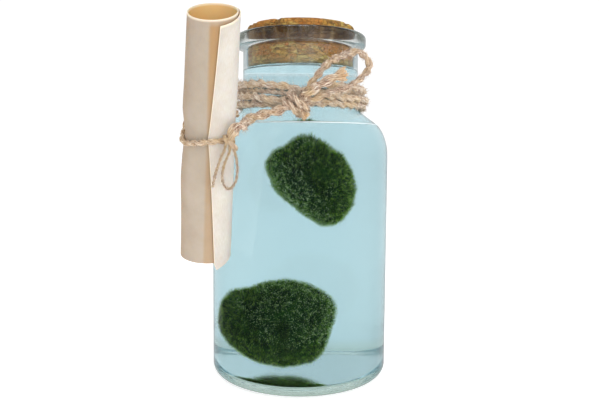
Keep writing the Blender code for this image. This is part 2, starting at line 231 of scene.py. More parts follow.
def ranged(tree, value, low, high, start=0.0, end=1.0, ease="LINEAR"):
    """Carry a value from one range over to another."""
    return add(tree, "ShaderNodeMapRange", {
        "Value": value, "From Min": low, "From Max": high, "To Min": start, "To Max": end},
        interpolation_type=ease).outputs["Result"]


def stretched(tree, vector, scale):
    return add(tree, "ShaderNodeMapping", {"Vector": vector, "Scale": scale}).outputs["Vector"]


def object_coordinates(tree, scale=(1, 1, 1)):
    return stretched(tree, add(tree, "ShaderNodeTexCoord").outputs["Object"], scale)


def part_of(tree, vector, axis):
    return add(tree, "ShaderNodeSeparateXYZ", {"Vector": vector}).outputs[axis]


def uv_map(tree, name):
    return add(tree, "ShaderNodeUVMap", uv_map=name).outputs["UV"]


def attribute(tree, name):
    return add(tree, "ShaderNodeAttribute", attribute_name=name).outputs["Fac"]


def noise_of(tree, vector, scale, detail=4.0, roughness=0.55):
    return add(tree, "ShaderNodeTexNoise", {"Vector": vector, "Scale": scale, "Detail": detail,
                                            "Roughness": roughness}).outputs["Fac"]


def new_material(name, **constants):
    """A material whose Principled shader takes the values that are the same all over."""
    material = bpy.data.materials.new(name)
    material.use_nodes = True
    tree = material.node_tree
    shader = tree.nodes["Principled BSDF"]
    for socket, value in constants.items():
        shader.inputs[socket.replace("_", " ")].default_value = value
    return material, tree, shader


def paint(tree, shader, colour):
    tree.links.new(colour, shader.inputs["Base Color"])


def set_bump(tree, shader, height, distance, strength=1.0):
    bump = add(tree, "ShaderNodeBump", {"Height": height, "Distance": distance, "Strength": strength})
    tree.links.new(bump.outputs["Normal"], shader.inputs["Normal"])


def mottled_material(name, scale, detail, *stops, **constants):
    """A few tones run into each other in plain noise."""
    material, tree, shader = new_material(name, **constants)
    paint(tree, shader, ramp(tree, noise_of(tree, object_coordinates(tree), scale, detail), *stops))
    return material


def make_glass():
    """Plain glass, whose faint tint is deepest where there is water behind it and palest at the cork, and
    which is painted darker where it is seen edge-on; the same glass where water wets it and hardly any light
    is mirrored; and a pale, rough, opaque seam that paints a line of light round the shoulder."""
    # painted light: the mould seam's finish is pale and opaque, so it shows as a thin line of light round
    # the shoulder
    lit_seam = mottled_material("lit_seam_glass", 300.0, 3.0, (0.3, (0.68, 0.83, 0.87, 1)),
                               (0.7, (0.88, 0.96, 0.98, 1)), Roughness=0.5, Specular_IOR_Level=0.1)

    dry, tree, shader = new_material("clear_glass", Roughness=0.0, IOR=GLASS_IOR, Transmission_Weight=1.0)
    up = ranged(tree, part_of(tree, object_coordinates(tree), "Z"), 0.0, LIP_TOP)
    beside_cork = (0.93, 0.95, 0.95, 1)
    tint = ramp(tree, up, (0.0, (0.42, 0.54, 0.48, 1)), (0.028, (0.48, 0.61, 0.57, 1)),
                (0.05, (0.51, 0.67, 0.70, 1)), (0.89, (0.53, 0.69, 0.73, 1)),
                (0.90, beside_cork), (0.955, beside_cork), (0.98, (0.62, 0.64, 0.62, 1)))
    # painted shade: where the glass is seen edge-on it is darkened, standing in for the light absorbed on
    # its long way through the glass there and, at the lip's ends, for the dark cork seen in it
    edge_on = add(tree, "ShaderNodeLayerWeight", {"Blend": 0.5}).outputs["Facing"]
    wall_edge_shade = ramp(tree, edge_on, (0.78, 1), (1.0, (0.40, 0.46, 0.48, 1)))
    neck_edge_shade = ramp(tree, edge_on, (0.44, 1), (0.62, (0.27, 0.35, 0.37, 1)), (1.0, (0.2, 0.27, 0.29, 1)))
    in_lip = ramp(tree, edge_on, (0.40, 1), (0.52, (0.10, 0.11, 0.09, 1)), (1.0, (0.06, 0.08, 0.08, 1)))
    edge_on_shade = mix(tree, ramp(tree, up, (0.895, 0), (0.9, 1)), wall_edge_shade, neck_edge_shade)
    edge_on_shade = mix(tree, ramp(tree, up, (0.965, 0), (0.975, 1)), edge_on_shade, in_lip)
    paint(tree, shader, multiplied(tree, tint, edge_on_shade))

    wet, _, _ = new_material("clear_glass_wet", Base_Color=WHITE, Roughness=0.0, IOR=WET_IOR,
                             Transmission_Weight=1.0)
    return dry, wet, lit_seam


def make_water():
    """The water's top bends light; its sides touch the glass, whose wet face already does that."""
    pair = []
    for name, ior in (("water_surface", WATER_IOR), ("water_depth", 1.0)):
        material, tree, _ = new_material(name, Base_Color=WHITE, Roughness=0.0, IOR=ior,
                                         Transmission_Weight=1.0)
        volume = add(tree, "ShaderNodeVolumeAbsorption", {"Color": WATER_TINT, "Density": WATER_DENSITY})
        tree.links.new(volume.outputs["Volume"], tree.nodes["Material Output"].inputs["Volume"])
        pair.append(material)
    return pair


def make_cork_material():
    """Pressed granules with seams and pits between them, damp at the foot, painted inside the lip with dark
    streaks that stand in for the twine and cork refracted in the glass there, and darker on top."""
    material, tree, shader = new_material("pressed_cork", Roughness=0.85)
    flat = object_coordinates(tree, (1.0, 1.0, 1.9))
    bend = add(tree, "ShaderNodeTexNoise", {"Vector": flat, "Scale": 500.0}).outputs["Color"]
    bend = vector_maths(tree, "MULTIPLY", bend, (0.0024, 0.0024, 0.0024))
    cells = {"Vector": vector_maths(tree, "ADD", flat, bend), "Scale": CORK_GRANULES}
    granules = add(tree, "ShaderNodeTexVoronoi", cells).outputs["Color"]
    shade = add(tree, "ShaderNodeSeparateColor", {"Color": granules}).outputs["Red"]
    colour = ramp(tree, shade, (0.0, (104, 58, 18)), (0.16, (188, 122, 44)), (0.45, (253, 192, 84)),
                  (0.8, (255, 236, 142)), (1.0, (240, 116, 14)))
    tawny = ramp(tree, noise_of(tree, flat, 105.0, detail=2.0), (0.48, 0), (0.58, 0.8))
    colour = mix(tree, tawny, colour, (244, 138, 28))
    seam = add(tree, "ShaderNodeTexVoronoi", cells, feature="DISTANCE_TO_EDGE").outputs["Distance"]
    seam_line = ramp(tree, seam, (0.0, 0.25), (0.07, 1))
    colour = mix(tree, seam_line, (92, 52, 18), colour)
    pits = ramp(tree, noise_of(tree, flat, 900.0, detail=3.0), (0.60, 0), (0.68, 1))
    colour = mix(tree, pits, colour, (74, 42, 18))
    fleck = ramp(tree, noise_of(tree, flat, 3200.0, detail=2.0),
                 (0.38, (70, 40, 12)), (0.47, (220, 166, 82)), (0.60, (255, 236, 170)))
    colour = mix(tree, 0.4, colour, fleck)
    height = part_of(tree, object_coordinates(tree), "Z")
    damp = ranged(tree, height, CORK_FOOT, CORK_FOOT + 0.004, 0.65, 0.0)
    colour = mix(tree, damp, colour, mix(tree, 0.75, colour, (192, 190, 140)))
    # painted refraction: a band of dark streaks inside the lip stands in for the twine and cork seen
    # refracted through the thick glass there
    in_lip = ranged(tree, height, LIP_Z - 0.001, LIP_TOP)
    lip_refraction_band = ramp(tree, in_lip, (0.0, 0), (0.2, 0.85), (0.8, 0.85), (0.95, 0))
    refraction_streaks = noise_of(tree, object_coordinates(tree, (1.0, 1.0, 0.05)), 260.0, detail=3.0)
    painted_lip_refraction = ramp(tree, refraction_streaks, (0.36, (84, 42, 24)), (0.5, (134, 90, 50)), (0.64, (204, 160, 104)))
    colour = mix(tree, lip_refraction_band, colour, painted_lip_refraction)
    # the cork's top is made darker
    darker_top = ranged(tree, height, LIP_TOP - 0.0005, LIP_TOP + 0.001)
    colour = mix(tree, darker_top, colour, multiplied(tree, colour, (0.68, 0.64, 0.54, 1)))
    paint(tree, shader, colour)
    set_bump(tree, shader, mix(tree, pits, seam_line, 0), 0.0003)
    return material


def make_felt_material():
    """The matted body of a moss ball, seen between its filaments."""
    material, tree, shader = new_material("moss_felt", Roughness=0.8, Specular_IOR_Level=0.2)
    place = object_coordinates(tree)
    blend = mix(tree, 0.55, noise_of(tree, place, 150.0, detail=3.0),
                noise_of(tree, place, 1500.0, detail=3.0))
    paint(tree, shader, ramp(tree, blend, (0.34, (14, 33, 13)), (0.5, (26, 55, 21)), (0.66, (49, 86, 30))))
    set_bump(tree, shader, noise_of(tree, place, 2600.0, detail=4.0), 0.0004)
    return material


def make_thread_material(name, roughness, light_reach, scale, tones, patchy=False):
    """Filaments are dark at the root and pale green at the tip: V of their UV map runs up them. The ramp is
    partly their own green and partly painted light and shade: dark roots for the shade deep in the pile,
    pale tips for light shining through them.
    """
    material, tree, shader = new_material(name, Roughness=roughness, Specular_IOR_Level=0.2,
                                          Subsurface_Weight=1.0, Subsurface_Radius=light_reach,
                                          Subsurface_Scale=scale)
    colour = ramp(tree, part_of(tree, uv_map(tree, "Thread"), "Y"), *tones)
    if patchy:
        place = object_coordinates(tree)
        patches = mix(tree, 0.5, noise_of(tree, place, 170.0, detail=3.0),
                      noise_of(tree, place, 2400.0, detail=1.0))
        shade = ramp(tree, patches, (0.38, (0.35, 0.42, 0.42, 1)), (0.62, 1))
        colour = multiplied(tree, colour, shade)
    paint(tree, shader, colour)
    return material


def make_jute_material(name, sheen, tones):
    """Jute reads its own UV map: millimetres along the rope, and a place across for each fibre. Cut is how
    near a freshly cut end is."""
    material, tree, shader = new_material(name, Roughness=0.8, Specular_IOR_Level=0.25, Sheen_Weight=sheen,
                                          Sheen_Roughness=0.5, Sheen_Tint=srgb(236, 214, 184))
    streaks = stretched(tree, uv_map(tree, "Ply"), (0.35, 9.0, 1.0))
    strands = noise_of(tree, streaks, 1.6, detail=3.0, roughness=0.6)
    colour = ramp(tree, strands, *zip((0.40, 0.47, 0.53, 0.60), tones))
    patches = noise_of(tree, object_coordinates(tree), 160.0, detail=2.0)
    colour = mix(tree, ramp(tree, patches, (0.42, 0), (0.7, 0.55)), colour, (222, 192, 134))
    paint(tree, shader, mix(tree, attribute(tree, "Cut"), colour, (240, 200, 150)))
    set_bump(tree, shader, strands, 0.00015)
    return material


def make_paper_material():
    """The sheet's UV map holds millimetres along it and over its height. One attribute marks where the paper
    is painted tan, as yellowing and, in the stripe beside the flap's edge, also as the flap's shade; another
    marks a painted highlight along its cut edges."""
    material, tree, shader = new_material("parchment", Roughness=0.75, Specular_IOR_Level=0.2,
                                          Subsurface_Weight=0.25, Subsurface_Radius=(1.0, 0.5, 0.2),
                                          Subsurface_Scale=0.0010)
    sheet = uv_map(tree, "Sheet")
    mottle = noise_of(tree, sheet, 0.11, detail=5.0, roughness=0.6)
    grain = noise_of(tree, stretched(tree, sheet, (3.2, 0.5, 1.0)), 1.2, detail=5.0, roughness=0.65)
    colour = ramp(tree, mottle, (0.32, (227, 219, 211)), (0.5, (235, 229, 221)), (0.68, (242, 237, 231)))
    # painted light and shade along the sheet, by where each part lies round the roll: lighter on the flap at
    # the right, darker where the roll turns left, away from the key lamp
    painted_side_light = ramp(tree, maths(tree, "DIVIDE", part_of(tree, sheet, "X"), SHEET_LENGTH),
                (0.0, (0.86, 0.84, 0.82, 1)), (0.12, 0.98), (0.28, (0.96, 0.94, 0.92, 1)),
                (0.55, (0.60, 0.52, 0.46, 1)), (0.70, (0.58, 0.53, 0.47, 1)), (0.78, (0.56, 0.50, 0.45, 1)),
                (1.0, (0.80, 0.72, 0.64, 1)))
    head = ramp(tree, maths(tree, "DIVIDE", part_of(tree, sheet, "Y"), SHEET_HEIGHT),
                (0.3, 1), (0.6, 0.92), (1.0, 0.885))
    colour = multiplied(tree, multiplied(tree, colour, painted_side_light), head)
    colour = mix(tree, ramp(tree, grain, (0.42, 0.22), (0.62, 0)), colour, (196, 174, 142))
    # painted tan: yellowed paper, and in the stripe beside the flap's edge also the flap's shade
    tone_and_shade = attribute(tree, "ToneAndShade")
    tan_and_shade = ramp(tree, tone_and_shade, (0.76, (178, 138, 84)), (0.9, (230, 192, 122)))
    colour = mix(tree, maths(tree, "MINIMUM", tone_and_shade, 0.88), colour, tan_and_shade)
    # painted highlight: a pale line along the sheet's cut edges, standing in for the light the paper's edge
    # catches
    rim = ramp(tree, attribute(tree, "EdgeHighlight"), (0.3, 0), (0.9, 0.9))
    paint(tree, shader, mix(tree, rim, colour, (255, 238, 214)))
    set_bump(tree, shader, grain, 0.00012, 0.6)
    return material


# ---- mesh helpers ----
def placed(name, data):
    """An object at the origin."""
    thing = bpy.data.objects.new(name, data)
    bpy.context.scene.collection.objects.link(thing)
    return thing


def placed_mesh(name, bm, material=None):
    """A mesh object from a bmesh, which is then let go; smooth where it has a material."""
    mesh = bpy.data.meshes.new(name)
    bm.to_mesh(mesh)
    bm.free()
    if material:
        mesh.materials.append(material)
        mesh.shade_smooth()
    return placed(name, mesh)


def finish_piece(name, verts, faces, materials, smooth=True):
    """One object at the origin from its vertices and faces."""
    mesh = bpy.data.meshes.new(name)
    mesh.from_pydata([tuple(v) for v in verts], [], faces)
    for material in materials:
        mesh.materials.append(material)
    if smooth:
        mesh.shade_smooth()
    return placed(name, mesh)


def arc(centre_r, centre_z, radius_r, radius_z, start, end, steps):
    turn = np.radians(np.linspace(start, end, steps + 1))
    return list(zip(centre_r + radius_r * np.cos(turn), centre_z + radius_z * np.sin(turn)))


def line(start, end, steps):
    """Points between two points, both ends left out."""
    return [(start[0] + (end[0] - start[0]) * i / steps, start[1] + (end[1] - start[1]) * i / steps)
            for i in range(1, steps)]


def turned(name, profile, materials, slot_of=None, shift=None, steps=TURN_STEPS):
    """Turn a half outline, which starts and ends on the axis, round Z. Shift moves single points."""
    verts, rows = [], []
    for r, z in profile:
        if r < 1e-9:
            rows.append([len(verts)] * steps)
            verts.append(Vector((0.0, 0.0, z)))
            continue
        rows.append(list(range(len(verts), len(verts) + steps)))
        for k in range(steps):
            turn = math.tau * k / steps
            point = Vector((r * math.cos(turn), r * math.sin(turn), z))
            verts.append(shift(point) if shift else point)
    faces, slots = [], []
    for i, (low, high) in enumerate(zip(rows, rows[1:])):
        slot = slot_of(i, profile[i + 1][1]) if slot_of else 0
        for k in range(steps):
            j = (k + 1) % steps
            faces.append(list(dict.fromkeys([low[k], low[j], high[j], high[k]])))
            slots.append(slot)
    piece = finish_piece(name, verts, faces, materials)
    piece.data.polygons.foreach_set("material_index", slots)
    return piece


def spline(a, b, c, d, t):
    """A smooth curve from b to c, led by a and d."""
    return 0.5 * (2 * b + (c - a) * t + (2 * a - 5 * b + 4 * c - d) * t ** 2
                  + (3 * b - a - 3 * c + d) * t ** 3)


def smooth_path(route, step):
    """Even points about a step apart, on a smooth curve through the route (metres)."""
    knots = [np.array(p, float) for p in route]
    knots = [knots[0] * 2 - knots[1]] + knots + [knots[-1] * 2 - knots[-2]]
    fine = [spline(*four, t) for four in zip(knots, knots[1:], knots[2:], knots[3:])
            for t in np.arange(0, 1, 1 / 24)]
    fine = np.array(fine + [knots[-2]])
    lengths = np.concatenate([[0], np.cumsum(np.linalg.norm(np.diff(fine, axis=0), axis=1))])
    even = np.linspace(0, lengths[-1], max(4, round(lengths[-1] / step)) + 1)
    return np.stack([np.interp(even, lengths, fine[:, k]) for k in range(3)], axis=1)


def polyline_length(points):
    return float(np.linalg.norm(np.diff(points, axis=0), axis=1).sum())


def path_frames(points):
    """Directions along a path, and two steady directions across it."""
    along = np.gradient(points, axis=0)
    along /= np.linalg.norm(along, axis=1)[:, None]
    side = np.cross(along[0], (0.0, 0.31, 0.95))
    sides = []
    for direction in along:
        side = side - direction * side.dot(direction)
        side = side / np.linalg.norm(side)
        sides.append(side)
    sides = np.array(sides)
    return along, sides, np.cross(along, sides)


class Tubes:
    """Gathers closed tubes in one mesh, with the Ply map: millimetres along the rope, and a place across."""

    def __init__(self):
        self.verts, self.faces, self.uvs = [], [], []

    def add(self, centres, out, round_, radii, travelled, sides, place):
        first, count = len(self.verts), len(centres)
        turns = np.arange(sides) * math.tau / sides
        rings = (centres[:, None, :] + radii[:, None, None] * (
            out[:, None, :] * np.cos(turns)[None, :, None]
            + round_[:, None, :] * np.sin(turns)[None, :, None]))
        self.verts += [tuple(v) for v in rings.reshape(-1, 3)]
        along = travelled / MM
        for i in range(count - 1):
            for k in range(sides):
                j = (k + 1) % sides
                low, high = first + i * sides, first + (i + 1) * sides
                self.faces.append((low + k, low + j, high + j, high + k))
                self.uvs += [(along[i], place + k * 0.1), (along[i], place + k * 0.1 + 0.1),
                             (along[i + 1], place + k * 0.1 + 0.1), (along[i + 1], place + k * 0.1)]
        for ring, at, inwards in ((first, 0, 1), (first + (count - 1) * sides, count - 1, -1)):
            step = (centres[1] - centres[0]) if at == 0 else (centres[-2] - centres[-1])
            tip = len(self.verts)
            self.verts.append(tuple(centres[at] - step * 0.4))
            for k in range(sides):
                j = (k + 1) % sides
                self.faces.append((ring + j, ring + k, tip) if inwards > 0 else (ring + k, ring + j, tip))
                self.uvs += [(along[at], place)] * 3

    def piece(self, name, material):
        made = finish_piece(name, self.verts, self.faces, [material])
        made.data.uv_layers.new(name="Ply").data.foreach_set("uv", np.array(self.uvs).ravel())
        bm = bmesh.new()
        bm.from_mesh(made.data)
        bmesh.ops.recalc_face_normals(bm, faces=bm.faces)
        bm.to_mesh(made.data)
        bm.free()
        return made


def wander(travelled, seed, period):
    """A smooth random value from about -1 to 1 along a rope."""
    return np.array([noise.noise(Vector((t / period, seed * 3.7, seed * 1.3))) for t in travelled]) * 1.6


def rope(name, points, diameter, lay, material, fibres=9, sides=4, seed=0, frayed=0.0):
    """Two plies twisted along a path, each a core wrapped in fibres that run nearly straight along the
    rope. Lay is the length of one full twist; a frayed start opens over that length."""
    _, side, across = path_frames(points)
    travelled = np.concatenate([[0], np.cumsum(np.linalg.norm(np.diff(points, axis=0), axis=1))])
    opened = np.clip(1.0 - travelled / frayed, 0.0, 1.0) if frayed else np.zeros(len(points))
    random = np.random.default_rng(100 + seed)
    tubes = Tubes()
    for ply in range(PLIES):
        twist = math.tau * (travelled / lay + ply / PLIES)
        radial = side * np.cos(twist)[:, None] + across * np.sin(twist)[:, None]
        tangent = across * np.cos(twist)[:, None] - side * np.sin(twist)[:, None]
        uneven = 1.0 + 0.10 * wander(travelled, seed + ply + 0.5, 2.5 * MM)
        reach = diameter * (PLY_REACH + 0.10 * opened) * uneven
        middle = points + radial * reach[:, None]
        core_end = int(np.searchsorted(travelled, 0.12 * frayed))
        thick = np.full(len(points), diameter * PLY_CORE)
        tubes.add(middle[core_end:], radial[core_end:], tangent[core_end:], thick[core_end:],
                  travelled[core_end:], 6, 50.0 + ply)
        for fibre in range(fibres):
            mark = seed * 31.0 + ply * 11.0 + fibre
            turn = math.tau * fibre / fibres - twist * 1.12 + 0.45 * wander(travelled, mark, 5 * MM)
            out = radial * np.cos(turn)[:, None] + tangent * np.sin(turn)[:, None]
            beside = tangent * np.cos(turn)[:, None] - radial * np.sin(turn)[:, None]
            lift = FIBRE_REACH + 0.035 * wander(travelled, mark + 0.3, 3 * MM) + 0.22 * opened ** 1.5
            radii = diameter * (FIBRE_RADIUS + 0.022 * wander(travelled, mark + 0.6, 2 * MM))
            radii = radii * (1.0 - 0.30 * opened)
            centres = middle + out * (diameter * lift)[:, None]
            start = int(np.searchsorted(travelled, random.uniform(0.0, 0.22) * frayed))
            tubes.add(centres[start:], out[start:], beside[start:], radii[start:], travelled[start:], sides,
                      place=fibre * 1.7 + ply * 20.0)
    made = tubes.piece(name, material)
    if frayed:
        away = [np.linalg.norm(Vector(v) - Vector(points[0])) for v in tubes.verts]
        cut = [float(np.clip(1.0 - distance / (0.9 * frayed), 0.0, 0.85)) for distance in away]
        set_attribute(made, "Cut", cut)
    return made


# ---- scattering with Geometry Nodes ----
def scatter_tree(name):
    """Puts an item on a surface: named inputs for how dense, how large and how far it leans over."""
    tree = bpy.data.node_groups.new(name, "GeometryNodeTree")
    face = tree.interface
    face.new_socket("Geometry", in_out="INPUT", socket_type="NodeSocketGeometry")
    for label, kind, value in (("Density", "Float", 1.0), ("Seed", "Int", 1), ("Smallest", "Float", 0.7),
                               ("Largest", "Float", 1.3), ("Least lean", "Float", 0.0),
                               ("Most lean", "Float", 0.5), ("Item", "Object", None),
                               ("Finish", "Material", None)):
        socket = face.new_socket(label, in_out="INPUT", socket_type="NodeSocket" + kind)
        if value is not None:
            socket.default_value = value
    face.new_socket("Geometry", in_out="OUTPUT", socket_type="NodeSocketGeometry")
    given = tree.nodes.new("NodeGroupInput").outputs
    mask = add(tree, "GeometryNodeInputNamedAttribute", {"Name": "Crowded"}, data_type="FLOAT")
    share = add(tree, "GeometryNodeSwitch", {"Switch": mask.outputs["Exists"], "False": 1.0,
                                             "True": mask.outputs["Attribute"]}, input_type="FLOAT")
    density = maths(tree, "MULTIPLY", given["Density"], share.outputs["Output"])
    points = add(tree, "GeometryNodeDistributePointsOnFaces", {
        "Mesh": given["Geometry"], "Density": density, "Seed": given["Seed"]})
    item = add(tree, "GeometryNodeObjectInfo", {"Object": given["Item"]}, transform_space="ORIGINAL")
    size = add(tree, "FunctionNodeRandomValue", {2: given["Smallest"], 3: given["Largest"],
                                                 "Seed": given["Seed"]}, data_type="FLOAT")
    set_out = add(tree, "GeometryNodeInstanceOnPoints", {
        "Points": points.outputs["Points"], "Instance": item.outputs["Geometry"],
        "Rotation": points.outputs["Rotation"], "Scale": size.outputs[1]})
    lean_least = add(tree, "ShaderNodeCombineXYZ", {"X": given["Least lean"], "Z": 0.0})
    lean_most = add(tree, "ShaderNodeCombineXYZ", {"X": given["Most lean"], "Z": math.tau})
    lean = add(tree, "FunctionNodeRandomValue", {0: lean_least.outputs[0], 1: lean_most.outputs[0],
                                                 "Seed": given["Seed"]}, data_type="FLOAT_VECTOR")
    turned_items = add(tree, "GeometryNodeRotateInstances", {
        "Instances": set_out.outputs["Instances"], "Rotation": lean.outputs[0]})
    real = add(tree, "GeometryNodeRealizeInstances", {"Geometry": turned_items.outputs["Instances"]})
    painted = add(tree, "GeometryNodeSetMaterial", {"Geometry": real.outputs["Geometry"],
                                                    "Material": given["Finish"]})
    out = tree.nodes.new("NodeGroupOutput")
    tree.links.new(painted.outputs["Geometry"], out.inputs["Geometry"])
    return tree


SCATTER = scatter_tree("scatter_on_surface")


def scatter(name, surface, item, finish, density, seed, sizes, leans):
    """A plain mesh piece of items scattered over a surface object."""
    carrier = placed(name + "_carrier", surface.data.copy())
    modifier = carrier.modifiers.new("scatter", "NODES")
    modifier.node_group = SCATTER
    values = {"Density": density, "Seed": seed, "Smallest": sizes[0], "Largest": sizes[1],
              "Least lean": leans[0], "Most lean": leans[1], "Item": item, "Finish": finish}
    for socket in SCATTER.interface.items_tree:
        if socket.in_out == "INPUT" and socket.name in values:
            modifier[socket.identifier] = values[socket.name]
    graph = bpy.context.evaluated_depsgraph_get()
    graph.update()
    mesh = bpy.data.meshes.new_from_object(carrier.evaluated_get(graph))
    mesh.name = name
    bpy.data.objects.remove(carrier, do_unlink=True)
    mesh.materials.clear()
    mesh.materials.append(finish)
    mesh.polygons.foreach_set("material_index", [0] * len(mesh.polygons))
    mesh.shade_smooth()
    return placed(name, mesh)


def thread_item(name, length, thickness, bend):
    """One thin three-sided thread that tapers to its tip and bends over towards +Y."""
    verts, faces, rings = [], [], 2
    for i in range(rings):
        share = i / rings
        radius = thickness / 2 * (1.0 - 0.55 * share)
        centre = Vector((0.0, bend * share ** 2 * length, share * length * (1 - 0.25 * bend * share)))
        for k in range(3):
            turn = math.tau * k / 3
            verts.append(centre + Vector((math.cos(turn), math.sin(turn), 0.0)) * radius)
    for i in range(rings - 1):
        for k in range(3):
            j = (k + 1) % 3
            faces.append((3 * i + k, 3 * i + j, 3 * i + 3 + j, 3 * i + 3 + k))
    verts.append(Vector((0.0, bend * length, length * (1 - 0.25 * bend))))
    last = 3 * (rings - 1)
    faces += [(last + k, last + (k + 1) % 3, len(verts) - 1) for k in range(3)]
    faces.append((2, 1, 0))
    item = finish_piece(name, verts, faces, [])
    layer = item.data.uv_layers.new(name="Thread")
    for number, loop in enumerate(item.data.loops):
        up = 1.0 if loop.vertex_index == len(verts) - 1 else loop.vertex_index // 3 / rings
        layer.data[number].uv = (loop.vertex_index % 3 / 3, up)
    return item


def join_pieces(name, pieces):
    """Join mesh objects into one piece with one material."""
    bm = bmesh.new()
    for piece in pieces:
        bm.from_mesh(piece.data)
    material = pieces[0].data.materials[0]
    for piece in pieces:
        bpy.data.objects.remove(piece, do_unlink=True)
    return placed_mesh(name, bm, material)


def set_attribute(piece, name, values):
    piece.data.attributes.new(name, "FLOAT", "POINT").data.foreach_set("value", values)


def hand_in(piece, slot, *nodes):
    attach(piece, "root")
    if nodes:
        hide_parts(*nodes)


# ---- bottle and water ----
def glass_waver(point):
    """Blown glass is never quite even."""
    radius = math.hypot(point.x, point.y)
    if radius < 0.004:
        return point
    waver = noise.noise(Vector((point.x * 45, point.y * 45, point.z * 28))) * 0.00004
    return Vector((point.x * (1 + waver / radius), point.y * (1 + waver / radius), point.z))


def shoulder_radii(radius, cone_foot):
    turn = math.radians(SHOULDER_TURN)
    return (radius - cone_foot[0]) / (1 - math.cos(turn)), (cone_foot[1] - SHOULDER_Z) / math.sin(turn)


def shoulder(radius, cone_foot, steps):
    """The rounding from the straight side up to the foot of the cone."""
    across, rise = shoulder_radii(radius, cone_foot)
    return arc(radius - across, SHOULDER_Z, across, rise, 0, SHOULDER_TURN, steps)


def rounded(points, steps=5):
    """A smooth curve through a few profile points."""
    path = smooth_path([(r, 0.0, z) for r, z in points], 1.0)
    path = smooth_path([(r, 0.0, z) for r, z in points], polyline_length(path) / (steps * (len(points) - 1)))
    return [(float(p[0]), float(p[2])) for p in path]


def bottle_inside(draw_in, steps):
    """The inner wall from the neck down to the floor, drawn in by a distance."""
    radius = BODY_RADIUS - WALL - draw_in
    neck = NECK_BORE - draw_in
    floor = BASE_THICKNESS + draw_in
    cone_top, cone_foot = ((r - draw_in * 0.6, z - draw_in * 0.8)
                           for r, z in (INNER_CONE_TOP, INNER_CONE_FOOT))
    points = rounded([(neck, NECK_FOOT - 0.0002), (neck + 0.00008, NECK_FOOT - 0.0013),
                      (neck + 0.0006, NECK_FOOT - 0.0026), cone_top])
    points += line(cone_top, cone_foot, 6) + shoulder(radius, cone_foot, 3 * steps)[::-1]
    corner = FLOOR_CORNER
    points += line((radius, SHOULDER_Z), (radius, floor + corner), 12)
    points += arc(radius - corner, floor + corner, corner, corner, 0, -90, 2 * steps)
    points += line((radius - corner, floor), (0.0, floor), 6) + [(0.0, floor)]
    return points


def mould_seam():
    """A fine raised ring high on the shoulder, where the mould parted."""
    across, rise = shoulder_radii(BODY_RADIUS, CONE_FOOT)
    ridge = []
    for degrees, out in SEAM:
        turn = math.radians(degrees)
        ridge.append((BODY_RADIUS - across + (across + out) * math.cos(turn),
                      SHOULDER_Z + (rise + out) * math.sin(turn)))
    return ridge


def make_bottle(dry, wet, lit_seam):
    curve, seam = shoulder(BODY_RADIUS, CONE_FOOT, 34), mould_seam()
    outer = [(0.0, PUSH_UP)] + line((0.0, PUSH_UP), (RESTING_RING - RING_SLOPE, PUSH_UP), 6)
    outer += [(RESTING_RING - RING_SLOPE + RING_SLOPE * share,
               PUSH_UP * (1 + math.cos(math.pi * share)) / 2) for share in (0.0, 0.2, 0.4, 0.6, 0.8, 1.0)]
    outer += arc(BODY_RADIUS - HEEL_RADIUS, HEEL_RADIUS, HEEL_RADIUS, HEEL_RADIUS, -90, 0, 14)
    outer += line((BODY_RADIUS, HEEL_RADIUS), (BODY_RADIUS, SHOULDER_Z), 14)
    outer += [(r, z) for r, z in curve if z < seam[0][1] - 0.0001]
    seam_start = len(outer)
    outer += seam
    seam_end = len(outer)
    outer += curve[-2:] + line(CONE_FOOT, CONE_TOP, 6)
    outer += rounded([CONE_TOP, (NECK_RADIUS + 0.0004, NECK_FOOT - 0.0011),
                      (NECK_RADIUS + 0.00006, NECK_FOOT - 0.0003), (NECK_RADIUS, NECK_FOOT + 0.0004)])
    outer += line((NECK_RADIUS, NECK_FOOT + 0.0004), (NECK_RADIUS, LIP_Z - 0.0012), 8)
    outer += [(NECK_RADIUS, LIP_Z - 0.0012), (NECK_RADIUS + 0.0001, LIP_Z - 0.0006),
              (NECK_RADIUS + 0.0005, LIP_Z - 0.0001)]
    outer += arc(LIP_RADIUS - 0.0012, LIP_Z + 0.0013, 0.0012, 0.0013, -75, 0, 6)
    outer += arc(LIP_RADIUS - 0.0021, LIP_TOP - 0.0017, 0.0021, 0.0017, 0, 90, 10)
    inner = arc(MOUTH_RADIUS + 0.0006, LIP_TOP - 0.0006, 0.0006, 0.0006, 90, 180, 5)
    inner += line((MOUTH_RADIUS, LIP_TOP - 0.0006), (NECK_BORE, WATER_TOP), 6)
    inner += [(NECK_BORE, WATER_TOP)] + line((NECK_BORE, WATER_TOP), (NECK_BORE, NECK_FOOT - 0.0002), 6)
    inner += bottle_inside(0.0, 8)
    first_inner = len(outer)

    def finish_of(i, height):
        if seam_start <= i < seam_end - 1:
            return 2
        return int(i >= first_inner and height < WATER_TOP - 1e-6)

    piece = turned("bottle", outer + inner, [dry, wet, lit_seam], shift=glass_waver, slot_of=finish_of)
    hand_in(piece, "glass", "glass_bottle")


def make_water_body(surface, sides):
    neck = NECK_BORE - WATER_FILM
    floor_up = list(reversed(bottle_inside(WATER_FILM, 8)))
    floor_up += line(floor_up[-1], (neck, WATER_TOP + 0.0004), 6) + [(neck, WATER_TOP + 0.0004)]
    # the water climbs the glass a little
    profile = floor_up + [(neck - 0.0002, WATER_TOP + 0.0003), (neck - 0.0005, WATER_TOP + 0.0001),
                          (neck - 0.0011, WATER_TOP)]
    profile += line((neck - 0.0011, WATER_TOP), (0.0, WATER_TOP), 5) + [(0.0, WATER_TOP)]
    rim = len(floor_up) - 1
    piece = turned("water", profile, [surface, sides], shift=glass_waver,
                   slot_of=lambda i, height: int(i < rim))
    hand_in(piece, "water", "water_front", "water_back")


